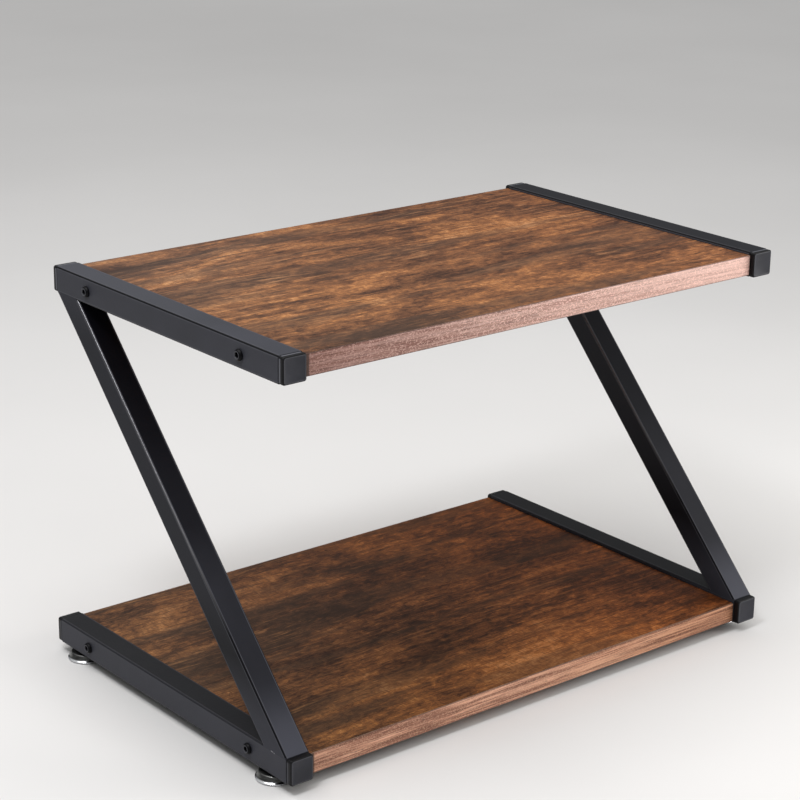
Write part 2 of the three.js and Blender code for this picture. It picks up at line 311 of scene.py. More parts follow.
def wood_laminate(name, shift, tints, patches, mottling, planks):
    """Rustic brown wood print, grain along X, with saw marks and an embossed, satin surface.

    tints multiply the print at the left and right ends; the lower board's also darken it, as painted shade.
    patches are broad light or dark areas of the print: (x, y, half length, half width, change of tone).
    mottling is how much the rust-like speckle counts against the streaks, and planks how strong the old
    planks' grey-brown stripes are."""
    s = Shader(name, specular=0.13)
    wander = s.noise((3, 8, 8), detail=3, shift=shift)
    bend = s.nodes.new("ShaderNodeVectorMath")
    bend.operation = "MULTIPLY_ADD"
    s.link(wander, bend.inputs[0])
    bend.inputs[1].default_value = (0.02, 0.05, 0.05)
    s.link(s.place, bend.inputs[2])
    along = bend.outputs[0]

    # Patches, streaks, mottling and hairlines add up to one tone, so that patches fray along the grain
    field = s.noise((6.5, 17, 17), detail=4, rough=0.6, source=along, distort=0.8, shift=shift)
    streak = s.noise((11, 120, 120), detail=5, rough=0.6, source=along, shift=shift)
    mottle = s.noise((75, 110, 110), detail=7, rough=0.82, distort=0.6, shift=shift)
    hair = s.noise((50, 560, 560), detail=4, rough=0.7, source=along, shift=shift)
    tone = s.math("ADD", s.math("MULTIPLY", field, 0.62), s.math("MULTIPLY", streak, 0.72 - mottling))
    tone = s.math("ADD", tone, s.math("MULTIPLY", mottle, mottling))
    tone = s.math("ADD", tone, s.math("MULTIPLY", hair, 0.32))
    tone = s.math("SUBTRACT", tone, 0.325)
    for x, y, half_length, half_width, change in patches:
        scale = (1 / half_length, 1 / half_width, 0)
        shift_to_middle = (-x / half_length, -y / half_width, 0)
        centred = s.scaled(scale, shift_to_middle, source=along)
        reach = s.nodes.new("ShaderNodeVectorMath")
        reach.operation = "LENGTH"
        s.link(centred, reach.inputs[0])
        weight = s.ramp(reach.outputs["Value"], [(0.2, 1.0), (1.0, 0.0)], "EASE")
        tone = s.math("ADD", tone, s.math("MULTIPLY", weight, change))
    colour = s.ramp(tone, [
        (0.36, (0.040, 0.019, 0.012)),
        (0.43, (0.092, 0.041, 0.022)),
        (0.49, (0.170, 0.074, 0.034)),
        (0.54, (0.265, 0.112, 0.045)),
        (0.60, (0.430, 0.185, 0.064)),
        (0.68, (0.640, 0.325, 0.145)),
    ])
    plank = s.noise((2.2, 26, 26), detail=3, rough=0.5, source=along, shift=(7, 4, 1))
    colour = s.mix(s.ramp(plank, [(0.53, 0.0), (0.60, planks)]), colour, (0.080, 0.050, 0.034))
    grain = s.noise((13, 230, 230), detail=6, rough=0.7, source=along, shift=(2, 8, 3))
    lined = s.ramp(s.noise((4, 9, 9), detail=2, shift=(5, 3, 2)), [(0.42, 0.25), (0.58, 1.0)])
    furrow = s.math("MULTIPLY", lined, s.ramp(grain, [(0.37, 0.85), (0.47, 0.0)]))
    ridge = s.math("MULTIPLY", lined, s.ramp(grain, [(0.55, 0.0), (0.66, 0.6)]))
    colour = s.mix(furrow, colour, (0.055, 0.028, 0.018))
    colour = s.mix(ridge, colour, (0.540, 0.270, 0.120))
    saw = s.noise((430, 70, 70), detail=4, rough=0.7, shift=shift)
    light_wood = s.ramp(tone, [(0.50, 0.0), (0.58, 1.0)])
    sawn = s.math("MULTIPLY", light_wood, s.ramp(saw, [(0.50, 0.0), (0.60, 0.6)]))
    colour = s.mix(sawn, colour, (0.135, 0.060, 0.030))
    pore = s.noise((80, 1100, 1100), detail=3, source=along, shift=shift)
    colour = s.mix(s.ramp(pore, [(0.34, 0.55), (0.45, 0.0)]), colour, (0.026, 0.015, 0.011))
    # End tints across X; the lower board's also darken it as painted shade
    across = s.ramp(s.from_left(), [(0.05, 0.0), (0.55, 1.0)])
    colour = s.mix(1.0, colour, s.mix(across, *tints), "MULTIPLY")
    rough = s.math("ADD", s.ramp(tone, [(0.4, 0.48), (0.65, 0.38)]), s.math("MULTIPLY", hair, 0.10))
    height = s.math("ADD", s.math("MULTIPLY", hair, 0.7), s.math("MULTIPLY", pore, 0.5))
    return s.finish(colour, rough, s.bump(height, 0.00022, 0.45, s.bump(saw, 0.00008, 0.35)))


def edge_band(name, shift, tones, dots, left_shade, right_end_shading, board):
    """Wood-print edge tape: fine broken lines along the edge, rows of pale dots and the odd dark smudge.

    tones are pale, mid and dark. dots is how strong the dots are, and left_shade how much painted shade
    darkens the left end. right_end_shading is the right end's colour, how much of it, and the way it is mixed
    in: painted light on the upper tape, and on the lower a warmer tint that is partly painted shade. board is
    the CAD node that the tape is on."""
    pale, mid, dark = tones
    low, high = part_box(board)
    s = Shader(name, specular=0.25)
    rows = s.noise((12, 40, 480), detail=3, rough=0.6, shift=shift)
    colour = s.ramp(rows, [(0.40, dark), (0.50, mid), (0.60, pale)])
    broad = s.noise((6, 10, 60), detail=4, rough=0.6, shift=shift)
    colour = s.mix(s.ramp(broad, [(0.38, 0.35), (0.52, 0.0)]), colour, dark)
    line = s.noise((26, 40, 1100), detail=3, rough=0.6, shift=shift)
    colour = s.mix(s.ramp(line, [(0.40, 0.6), (0.48, 0.0)]), colour, tuple(0.6 * c for c in dark))
    glint = s.noise((520, 60, 900), detail=2, rough=0.6, shift=(2, 5, 1))
    bright = tuple(min(1, 1.35 * c) for c in pale)
    colour = s.mix(s.ramp(glint, [(0.52, 0.0), (0.60, dots)]), colour, bright)
    smudge = s.noise((40, 12, 260), detail=5, rough=0.7, shift=(1, 9, 4))
    colour = s.mix(s.ramp(smudge, [(0.62, 0.0), (0.68, 0.65)]), colour, (0.075, 0.055, 0.050))
    # Painted shade darkening the left end
    left = s.ramp(s.from_left(), [(0.05, left_shade), (0.32, 0.0)])
    colour = s.mix(left, colour, (0.44, 0.36, 0.345), "MULTIPLY")
    # Towards the right end: painted light on the upper tape, a warmer tint with painted shade on the lower
    far_colour, far_share, far_blend = right_end_shading
    right = s.ramp(s.from_left(), [(0.25, 0.0), (0.50, far_share)])
    colour = s.mix(right, colour, far_colour, far_blend)
    # Darker along the tape's two long edges, and a painted shadow of the cap at the left end
    from_middle = s.math("ABSOLUTE", s.math("SUBTRACT", s.axis(2), (low.z + high.z) / 2))
    half = (high.z - low.z) / 2
    long_edge_dark = s.ramp(s.math("DIVIDE", from_middle, half), [(0.91, 0.0), (0.96, 0.75)])
    from_cap = s.math("MULTIPLY", s.math("SUBTRACT", s.axis(0), low.x), CENTIMETRES_PER_METRE)
    cap_shadow = s.ramp(from_cap, [(0.48, 0.85), (0.60, 0.0)])
    colour = s.mix(s.math("MAXIMUM", long_edge_dark, cap_shadow), colour, (0.060, 0.036, 0.028))
    rough = s.ramp(rows, [(0.3, 0.58), (0.7, 0.46)])
    return s.finish(colour, rough, s.bump(rows, 0.00015, 0.5))


def black_oxide():
    """Oiled black oxide on the screws, with thin wear."""
    s = Shader("black_oxide", specular=0.12)
    wear = s.noise(350, detail=5, rough=0.6)
    base = s.ramp(wear, [(0.35, (0.006, 0.006, 0.008)), (0.7, (0.017, 0.017, 0.021))])
    # Painted highlight and painted shade from the edge attribute, set per point in make_bolt
    base = corner_highlights_and_shade(s, base, (0.085, 0.086, 0.095), (0.002, 0.002, 0.003))
    return s.finish(base, s.ramp(wear, [(0.3, 0.36), (0.7, 0.52)]), s.bump(s.noise(1400), 0.00003, 0.4))


def bare_weld():
    """Weld spatter with its coat rubbed thin, down to grey steel."""
    s = Shader("bare_weld", specular=0.4, metallic=0.5)
    worn = s.noise(700, detail=5, rough=0.65)
    base = s.ramp(worn, [(0.35, (0.070, 0.072, 0.080)), (0.6, (0.300, 0.305, 0.325))])
    return s.finish(base, s.ramp(worn, [(0.35, 0.5), (0.6, 0.32)]), s.bump(worn, 0.0001, 0.5))


def zinc_plate():
    """Zinc plate with a cloudy, slightly yellow bloom."""
    s = Shader("zinc_plate", metallic=1.0)
    bloom = s.noise(160, detail=5, rough=0.6)
    base = s.ramp(bloom, [(0.3, (0.42, 0.43, 0.45)), (0.6, (0.58, 0.585, 0.60)), (0.75, (0.62, 0.60, 0.52))])
    return s.finish(base, s.ramp(bloom, [(0.3, 0.22), (0.7, 0.42)]), s.bump(s.noise(1800), 0.00002, 0.4))


def chrome_plate():
    """Bright chrome on the cup's rolled lip; its wall is darker, rougher and spun."""
    s = Shader("chrome_plate", metallic=1.0)
    smudge = s.noise(90, detail=6, rough=0.6)
    base = s.ramp(smudge, [(0.3, (0.66, 0.67, 0.69)), (0.7, (0.80, 0.81, 0.83))])
    spun = s.noise((60, 60, 2600), detail=2)
    haze = s.noise((160, 160, 900), detail=4)
    wall_tone = s.ramp(haze, [(0.35, (0.100, 0.101, 0.098)), (0.7, (0.190, 0.190, 0.185))])
    wall = s.ramp(s.math("MULTIPLY", s.axis(2), CENTIMETRES_PER_METRE), [(0.22, 0.0), (0.32, 1.0)])
    base = s.mix(wall, base, wall_tone)
    rough = s.mix(wall, s.ramp(smudge, [(0.35, 0.06), (0.75, 0.18)]), (0.30, 0.30, 0.30))
    return s.finish(base, rough, s.bump(spun, 0.00001, 0.25))


def rubber():
    """Black rubber with a fine grain and a little dust."""
    s = Shader("rubber", specular=0.3)
    grain = s.noise(1100, detail=4, rough=0.65)
    dust = s.ramp(s.noise(130, detail=5, rough=0.7), [(0.5, 0.0), (0.8, 0.4)])
    base = s.mix(dust, (0.014, 0.014, 0.015), (0.075, 0.072, 0.068))
    return s.finish(base, s.ramp(grain, [(0.3, 0.7), (0.7, 0.88)]), s.bump(grain, 0.00012, 0.5))


def chipboard():
    """Raw chipboard where the boards are bored, under the rails."""
    s = Shader("chipboard", specular=0.2)
    chips = s.noise((420, 420, 700), detail=4, rough=0.7)
    base = s.ramp(chips, [(0.3, (0.20, 0.13, 0.07)), (0.55, (0.42, 0.30, 0.18)), (0.75, (0.58, 0.44, 0.28))])
    return s.finish(base, s.ramp(chips, [(0.3, 0.8), (0.7, 0.95)]), s.bump(chips, 0.0003, 0.6))


# ---------------------------------------------------------------- mesh helpers

def add_piece(name, mesh, material, body, slot, *nodes, sharp=35):
    """Links a finished mesh as a piece of the object, on its body, standing for CAD nodes."""
    piece = bpy.data.objects.new(name, mesh)
    bpy.context.scene.collection.objects.link(piece)
    for item in material if isinstance(material, tuple) else (material,):
        mesh.materials.append(item)
    for face in mesh.polygons:
        face.use_smooth = True
    mesh.set_sharp_from_angle(angle=math.radians(sharp))
    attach(piece, body)
    if nodes:
        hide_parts(*nodes)
    return piece


def mesh_of(bm, name):
    """Turns finished bmesh data into a mesh with its faces pointing out."""
    bmesh.ops.recalc_face_normals(bm, faces=bm.faces)
    mesh = bpy.data.meshes.new(name)
    bm.to_mesh(mesh)
    bm.free()
    return mesh


def rounded(corners, steps, closed=False):
    """Turns (radius, height, rounding) corners into (radius, height) points, with a curve at each corner."""
    count = len(corners)
    result = []
    for i, (x, y, rounding) in enumerate(corners):
        here = Vector((x, y))
        if rounding == 0 or (not closed and i in (0, count - 1)):
            result.append(here)
            continue
        before, after = Vector(corners[i - 1][:2]), Vector(corners[(i + 1) % count][:2])
        a, b = (before - here), (after - here)
        half = a.angle(b) / 2
        reach = min(rounding / math.tan(half), 0.49 * a.length, 0.49 * b.length)
        start, end = here + a.normalized() * reach, here + b.normalized() * reach
        for k in range(steps + 1):
            t = k / steps
            result.append(start * (1 - t) ** 2 + here * 2 * t * (1 - t) + end * t * t)
    return [(p.x, p.y) for p in result]


def rounded_square(size, radius):
    """A square outline, centred, with each point's edge value: 0 on the flats, 0.3 to 1 round a corner."""
    steps = 6
    half = size / 2
    beside = 0.9 * MM
    points, edge = [], []
    for quarter in range(4):
        turn = Matrix.Rotation(quarter * math.pi / 2, 2)
        centre = Vector((half - radius, half - radius))
        corner = [(Vector((half, half - radius - beside)), 0.0)]
        for k in range(steps + 1):
            angle = math.pi / 2 * k / steps
            across = abs(2 * k / steps - 1)
            point = centre + radius * Vector((math.cos(angle), math.sin(angle)))
            corner.append((point, 1 - 0.7 * across ** 2))
        corner.append((Vector((half - radius - beside, half)), 0.0))
        points += [turn @ p for p, _ in corner]
        edge += [value for _, value in corner]
    return points, edge


def loft(bm, rings, closed_tube=False):
    """Joins rings of points into a skin. Open ends are filled with a flat face."""
    layers = [[bm.verts.new(p) for p in ring] for ring in rings]
    pairs = list(zip(layers, layers[1:]))
    if closed_tube:
        pairs.append((layers[-1], layers[0]))
    for low, high in pairs:
        count = len(low)
        for i in range(count):
            j = (i + 1) % count
            bm.faces.new((low[i], low[j], high[j], high[i]))
    if not closed_tube:
        bm.faces.new(layers[0])
        bm.faces.new(layers[-1])


def turned_mesh(name, profile, steps, place):
    """Revolves (radius, height) pairs about place's Z axis. A radius of 0 closes on the axis."""
    bm = bmesh.new()
    rings = []
    for radius, height in profile:
        if radius < 1e-7:
            rings.append([bm.verts.new((0, 0, height))])
            continue
        turn = [2 * math.pi * i / steps for i in range(steps)]
        rings.append([bm.verts.new((radius * math.cos(a), radius * math.sin(a), height)) for a in turn])
    closed = len(rings[0]) > 1
    pairs = list(zip(rings, rings[1:])) + ([(rings[-1], rings[0])] if closed else [])
    for low, high in pairs:
        for i in range(steps):
            j = (i + 1) % steps
            corners = [low[i % len(low)], low[j % len(low)], high[j % len(high)], high[i % len(high)]]
            unique = list(dict.fromkeys(corners))
            if len(unique) > 2:
                bm.faces.new(unique)
    bmesh.ops.transform(bm, matrix=place, verts=bm.verts)
    return mesh_of(bm, name)


def cut(mesh, cutters):
    """Takes the cutters' meshes out of a mesh with exact booleans."""
    body = bpy.data.objects.new("cut_body", mesh)
    bpy.context.scene.collection.objects.link(body)
    tools = []
    for cutter in cutters:
        tool = bpy.data.objects.new("cut_tool", cutter)
        bpy.context.scene.collection.objects.link(tool)
        modifier = body.modifiers.new("cut", "BOOLEAN")
        modifier.operation = "DIFFERENCE"
        modifier.solver = "EXACT"
        modifier.object = tool
        tools.append(tool)
    evaluated = body.evaluated_get(bpy.context.evaluated_depsgraph_get())
    result = bpy.data.meshes.new_from_object(evaluated)
    for item in tools + [body]:
        bpy.data.objects.remove(item)
    return result


def store_edge(mesh, values):
    layer = mesh.attributes.new("edge", "FLOAT", "POINT")
    layer.data.foreach_set("value", values)


# ---------------------------------------------------------------- frame tubes

TUBE = 25 * MM
WALL = 1.2 * MM
TUBE_RADIUS = 1.6 * MM
FRAME = "frame"


def tube_mesh(name, start, end, levels=None):
    """Square tube from start to end. With levels, its two ends are cut level at those heights."""
    axis = (end - start).normalized()
    across = Vector((1, 0, 0))
    third = axis.cross(across)
    outer, edge = rounded_square(TUBE, TUBE_RADIUS)
    inner, _ = rounded_square(TUBE - 2 * WALL, 0.7 * MM)

    def ring(outline, index):
        points = [(start, end)[index] + across * p.x + third * p.y for p in outline]
        if levels:
            points = [p + axis * ((levels[index] - p.z) / axis.z) for p in points]
        return points

    bm = bmesh.new()
    loft(bm, [ring(outer, 0), ring(outer, 1), ring(inner, 1), ring(inner, 0)], closed_tube=True)
    mesh = mesh_of(bm, name)
    store_edge(mesh, edge * 2 + [0.0] * (2 * len(inner)))
    return mesh


def drill_mesh(start, end, radius):
    """A closed cylinder to cut a hole with."""
    steps = 32
    axis = end - start
    turn = Vector((0, 0, 1)).rotation_difference(axis).to_matrix().to_4x4()
    place = Matrix.Translation(start) @ turn
    return turned_mesh("drill", [(0, 0), (radius, 0), (radius, axis.length), (0, axis.length)], steps, place)


def centre_of(node):
    low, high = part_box(node)
    return (low + high) / 2


def make_rail(side, level, coat):
    """A rail, bored for its two bolts, and for the two rivet nuts if it is a bottom one."""
    node = f"{side}_{level}_rail"
    bolt_hole, nut_hole = 3.3 * MM, 5.6 * MM
    low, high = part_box(node)
    middle = (low + high) / 2
    start, end = Vector((middle.x, low.y, middle.z)), Vector((middle.x, high.y, middle.z))
    mesh = tube_mesh(node, start, end)
    cutters = []
    for end_name in ENDS:
        bolt = centre_of(f"{side}_{level}_{end_name}_bolt")
        reach = Vector((TUBE, 0, 0))
        at = Vector((middle.x, bolt.y, middle.z))
        cutters.append(drill_mesh(at - reach, at + reach, bolt_hole))
        if level == "bottom":
            nut = centre_of(f"{end_name}_{side}_foot_nut")
            below = Vector((nut.x, nut.y, low.z - 5 * MM))
            inside = Vector((nut.x, nut.y, middle.z))
            cutters.append(drill_mesh(below, inside, nut_hole))
    mesh = cut(mesh, cutters)
    add_piece(f"{node}_tube", mesh, coat, FRAME, "powder_coated_steel", node)


def make_leg(side, coat):
    """A leg, mitred level at both ends. Returns the middles of its two ends and half its width there."""
    node = f"{side}_diagonal_leg"
    low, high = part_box(node)
    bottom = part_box(f"{side}_bottom_rail")[1].z
    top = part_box(f"{side}_top_rail")[0].z
    x = (low.x + high.x) / 2
    # The lean at which a tube of this section, cut level at both ends, just fills the node's box
    rise = high.z - low.z
    run = high.y - low.y
    lean = math.atan2(run, rise) - math.asin(TUBE / math.hypot(run, rise))
    half_width = TUBE / math.cos(lean) / 2
    slope = math.tan(lean)
    foot = Vector((x, low.y + half_width - (low.z - bottom) * slope, bottom))
    head = Vector((x, high.y - half_width + (top - high.z) * slope, top))
    mesh = tube_mesh(node, foot, head, levels=(bottom, top))
    add_piece(f"{node}_tube", mesh, coat, FRAME, "powder_coated_steel", node)
    return foot, head, half_width


def weld_bead(name, start, end, radius, material, seed):
    """A rippled bead of weld along a line."""
    bm = bmesh.new()
    length = (end - start).length
    axis = (end - start).normalized()
    u = axis.orthogonal().normalized()
    v = axis.cross(u)
    ring_gap, ripple = 0.35 * MM, 1.9 * MM
    steps, around = max(12, int(length / ring_gap)), 14
    rings = []
    for k in range(steps + 1):
        t = k / steps
        centre = start.lerp(end, t)
        close = min(1.0, 6 * t + 0.25, 6 * (1 - t) + 0.25)
        wave = 0.10 * abs(math.sin(math.pi * t * length / ripple))
        wobble = 0.12 * noise.noise(Vector((t * 9, seed, 0.3)))
        size = radius * math.sqrt(close) * (0.9 + wave + wobble)
        turn = [2 * math.pi * i / around for i in range(around)]
        rings.append([centre + size * (u * math.cos(a) + v * math.sin(a)) for a in turn])
    loft(bm, rings)
    add_piece(name, mesh_of(bm, name), material, FRAME, "powder_coated_steel", sharp=60)


def make_welds(side, foot, head, half_width, coat, bare):
    """A bead behind the leg's foot and one in front of its head, flush filler at both sides, and a nick."""
    inset, bead, nick = 2.2 * MM, 2.1 * MM, 0.6 * MM
    joints = (("foot", foot, 1, "rear", 5), ("head", head, -1, "front", 3))
    for place, centre, out, open_end, seed in joints:
        y = centre.y + ENDS[open_end] * (half_width + 0.4 * MM)
        z = centre.z + out * 0.3 * MM
        a, b = (Vector((foot.x + sign * (TUBE / 2 - inset), y, z)) for sign in (-1, 1))
        weld_bead(f"{side}_leg_{place}_{open_end}_weld", a, b, bead, coat, seed)
        for flank, x_sign in (("outer", SIDES[side]), ("inner", -SIDES[side])):
            face = foot.x + x_sign * TUBE / 2
            width = half_width - TUBE_RADIUS * 0.6
            corners = ((-width, 0), (width, 0), (width, -out), (-width, -out))
            bm = bmesh.new()
            loft(bm, [
                [Vector((x, centre.y + across, centre.z + up * TUBE_RADIUS)) for across, up in corners]
                for x in (face - x_sign * TUBE_RADIUS, face)
            ])
            name = f"{side}_leg_{place}_{flank}_filler"
            add_piece(name, mesh_of(bm, name), coat, FRAME, "powder_coated_steel")
    # A nick through the coat beside the seam at the foot, at a slant to the rail
    face = foot.x + SIDES[side] * (TUBE / 2 - 0.3 * MM)
    a = Vector((face, foot.y - 1.0 * MM, foot.z - 1.8 * MM))
    b = Vector((face, foot.y + 4.8 * MM, foot.z - 1.0 * MM))
    weld_bead(f"{side}_leg_foot_scar_weld", a, b, nick, bare, seed=11)


# ---------------------------------------------------------------- end caps

def make_cap(side, level, end_name, plastic):
    """A moulded cap: a ribbed plug inside the rail, a square head with rounded edges and a sunk face."""
    node = f"{side}_{level}_{end_name}_cap"
    low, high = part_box(node)
    sign = ENDS[end_name]
    face = low.y if sign < 0 else high.y
    size = high.x - low.x
    depth = 6.7 * MM
    bevel = 1.3 * MM
    corner = 2.2 * MM
    plug = 20.6 * MM
    # Edge value of the head's sides: 0.3 gives a pale painted highlight strip; a lower cap's 0.5 is fainter,
    # part painted shade
    flank = 0.3 if level == "top" else 0.5
    # Rings from the plug's inner end to the face: distance behind the face, size, corner radius, edge value
    profile = [(20.0 * MM, plug - 1.4 * MM, 0.9 * MM, 0), (19.2 * MM, plug, 1.1 * MM, 0)]
    for rib in range(3):
        back = 17.5 * MM - rib * 3.6 * MM
        for inset, width in ((0, plug), (0.5 * MM, 22 * MM), (1.3 * MM, plug)):
            profile.append((back - inset, width, 1.1 * MM, 0))
    # Edge value 1 puts a painted shade line on the head's back rim and on a ring round its sides
    profile += [
        (depth, plug, 1.1 * MM, 0),
        (depth, size - 0.9 * MM, 1.5 * MM, 1),
        (depth - 0.45 * MM, size, corner, 1),
        (depth - 0.9 * MM, size, corner, flank),
        (depth - 2.8 * MM, size, corner, flank),
        (depth - 3.4 * MM, size, corner, 1),
    ]
    # Round the bevel: a painted shade line on its back half, turning to a painted highlight at the face
    rows = 6
    for k in range(rows + 1):
        angle = math.pi / 2 * k / rows
        crest = 1 - 0.7 * max(0, 2 * k / rows - 1) ** 2
        back, width = bevel * (1 - math.sin(angle)), size - 2 * bevel * (1 - math.cos(angle))
        profile.append((back, width, corner, crest))
    rim = size - 2 * bevel - 0.8 * MM
    profile += [(0, rim, 1.2 * MM, 0), (0.2 * MM, rim - 0.8 * MM, 1.0 * MM, 0)]
    middle = (low + high) / 2
    rings, shares = [], []
    for back, width, radius, value in profile:
        outline, edge = rounded_square(width, radius)
        rings.append([Vector((middle.x + p.x, face - sign * back, middle.z + p.y)) for p in outline])
        along_sides = bevel <= back < depth
        for p, e in zip(outline, edge):
            # Painted shade: black on the sides towards the board, and on top of a lower cap
            flat_end = width / 2 - radius
            hidden = -p.x * SIDES[side] > flat_end or (level == "bottom" and p.y > flat_end)
            shares.append(max(value, e, 0.9 * hidden) if along_sides else value)
    bm = bmesh.new()
    loft(bm, rings)
    mesh = mesh_of(bm, node)
    store_edge(mesh, shares)
    add_piece(f"{node}_moulding", mesh, plastic, FRAME, "cap_plastic", node, sharp=50)


# ---------------------------------------------------------------- boards

def slab_mesh(name, low, high, radius):
    """A slab with all its edges and corners rounded."""
    bm = bmesh.new()
    bmesh.ops.create_cube(bm, size=1)
    size, middle = high - low, (low + high) / 2
    for v in bm.verts:
        v.co = Vector((v.co.x * size.x, v.co.y * size.y, v.co.z * size.z)) + middle
    bmesh.ops.bevel(bm, geom=bm.edges, offset=radius, segments=3, profile=0.5, affect="EDGES")
    return mesh_of(bm, name)


def make_board(level, wood, raw, tape):
    """A board with its two edge tapes, bored at its ends for the threaded inserts."""
    name = LEVELS[level]
    node = f"{name}_shelf_board"
    band_round, board_round = 0.42 * MM, 0.25 * MM
    insert_hole, insert_depth = 5.1 * MM, 16 * MM
    low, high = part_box(node)
    for end_name, sign in ENDS.items():
        band = f"{name}_shelf_{end_name}_band"
        band_low, band_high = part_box(band)
        # The tape touches the board, where the CAD solids keep a gap
        if sign < 0:
            band_high.y = low.y
        else:
            band_low.y = high.y
        mesh = slab_mesh(band, band_low, band_high, band_round)
        add_piece(f"{band}_tape", mesh, tape, FRAME, "edge_band", band)
    mesh = slab_mesh(node, low, high, board_round)
    drills = []
    for side, sign in SIDES.items():
        for end_name in ENDS:
            insert = centre_of(f"{side}_{level}_{end_name}_insert")
            mouth = Vector((high.x if sign > 0 else low.x, insert.y, insert.z))
            out = Vector((sign, 0, 0))
            drills.append(drill_mesh(mouth + MM * out, mouth - insert_depth * out, insert_hole))
    mesh = cut(mesh, drills)
    for face in mesh.polygons:
        trimmed = abs(face.normal.x) > 0.9 or abs(face.normal.y) > 0.9
        face.material_index = 1 if trimmed else 0
    add_piece(f"{node}_laminate", mesh, (wood, raw), FRAME, "wood_laminate", node)


# ---------------------------------------------------------------- fastenings

def make_bolt(side, level, end_name, oxide):
    """An M6 button-head bolt, its head against the rail, with a hexagon socket."""
    node = f"{side}_{level}_{end_name}_bolt"
    low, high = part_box(node)
    sign = SIDES[side]
    head, rise, face = 5.25 * MM, 3.3 * MM, 3.45 * MM
    shank = 2.9 * MM
    length = (high.x - low.x) - rise
    section = rounded([
        (0, -length, 0),
        (shank - 0.6 * MM, -length, 0),
        (shank, -length + 0.6 * MM, 0),
        (shank, 0, 0),
        (head, 0, 0.25 * MM),
        (head, 1.1 * MM, 1.2 * MM),
        (head - 0.8 * MM, 2.6 * MM, 1.4 * MM),
        (face, rise, 0.3 * MM),
        (0, rise, 0),
    ], steps=5)
    out_x = (high.x - rise) if sign > 0 else (low.x + rise)
    middle = (low + high) / 2
    turn = Matrix.Rotation(sign * math.pi / 2, 4, "Y")
    place = Matrix.Translation((out_x, middle.y, middle.z)) @ turn
    mesh = turned_mesh(node, section, 48, place)
    half_flats = 2.5 * MM
    corner = half_flats / math.cos(math.pi / 6)
    bottom, mouth = rise - 2.9 * MM, rise + MM
    socket = turned_mesh("socket", [(0, bottom), (corner, bottom), (corner, mouth), (0, mouth)], 6, place)
    inner, outer = corner - 0.35 * MM, corner + 0.35 * MM
    start, end = rise - 0.5 * MM, rise + 0.2 * MM
    chamfer = turned_mesh("chamfer", [(0, start), (inner, start), (outer, end), (0, end)], 32, place)
    mesh = cut(mesh, [socket, chamfer])
    # Painted highlight on the face round the socket; painted shade on the dome's flank and inside the socket
    face_x = out_x + sign * rise
    edge = []
    for vertex in mesh.vertices:
        reach = math.hypot(vertex.co.y - middle.y, vertex.co.z - middle.z)
        rubbed = abs(vertex.co.x - face_x) < 0.6 * MM and reach < 3.9 * MM
        edge.append(0.3 if rubbed else 1.0)
    store_edge(mesh, edge)
    add_piece(f"{node}_screw", mesh, oxide, FRAME, "black_oxide_steel", node, sharp=32)


# ---------------------------------------------------------------- levelling feet

THREAD_PITCH = 1.25 * MM


def threaded_stud(name, node, material, body):
    """M8 stud: a real single-start helix above a smooth collar and the swaged flange."""
    low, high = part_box(node)
    middle = (low + high) / 2
    flange = (high.x - low.x) / 2
    flange_top = low.z + 1.4 * MM
    major, minor = 3.88 * MM, 3.25 * MM
    start = flange_top + 1.6 * MM
    around, per_pitch = 40, 8
    rows = int((high.z - start) / (THREAD_PITCH / per_pitch))
    profile = [
        (flange - 0.4 * MM, low.z),
        (flange, low.z + 0.35 * MM),
        (flange, flange_top - 0.3 * MM),
        (flange - 0.4 * MM, flange_top),
        (major - 0.2 * MM, flange_top),
        (major - 0.2 * MM, start - 0.3 * MM),
    ]
    turn = [2 * math.pi * i / around for i in range(around)]

    def point(radius, angle, z):
        return Vector((middle.x + radius * math.cos(angle), middle.y + radius * math.sin(angle), z))

    rings = [[point(radius, a, z) for a in turn] for radius, z in profile]
    for k in range(rows + 1):
        z = start + (high.z - start) * k / rows
        taper = min(1.0, (high.z - z) / (1.2 * MM) + 0.12, (z - start) / MM + 0.1)
        ring = []
        for a in turn:
            phase = ((z - start) / THREAD_PITCH - a / (2 * math.pi)) % 1.0
            height = max(0.0, min(1.0, 1.25 - 2.9 * abs(phase - 0.5)))
            radius = minor + (major - minor) * height * taper
            if z > high.z - 0.7 * MM:
                radius = minor
            ring.append(point(radius, a, z))
        rings.append(ring)
    bm = bmesh.new()
    loft(bm, rings)
    add_piece(name, mesh_of(bm, name), material, body, "zinc_plated_steel", node, sharp=50)


def make_cup(foot, place, chrome):
    """The spun cup, a closed wall section: under the crown from the hole, round the lip and back over it."""
    low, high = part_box(f"{foot}_cup")
    lip = (high.x - low.x) / 2
    top, base = high.z, low.z
    hole = 4.2 * MM
    section = rounded([
        (hole, top - MM, 0),
        (11.0 * MM, top - MM, 0.8 * MM),
        (14.0 * MM, top - 2.6 * MM, 1.5 * MM),
        (15.2 * MM, 3.6 * MM, 1.5 * MM),
        (15.8 * MM, 1.9 * MM, MM),
        (lip - 0.9 * MM, base, 0.3 * MM),
        (lip, base, 0.35 * MM),
        (lip, base + 1.1 * MM, 0.5 * MM),
        (16.9 * MM, 3.0 * MM, 1.6 * MM),
        (16.0 * MM, 5.2 * MM, 2 * MM),
        (15.0 * MM, top - 0.6 * MM, 1.6 * MM),
        (11.2 * MM, top, 2 * MM),
        (hole, top, 0),
    ], steps=5)
    mesh = turned_mesh(f"{foot}_cup", section, 96, place)
    add_piece(f"{foot}_chrome_cup", mesh, chrome, foot, "chrome_steel", f"{foot}_cup", sharp=40)


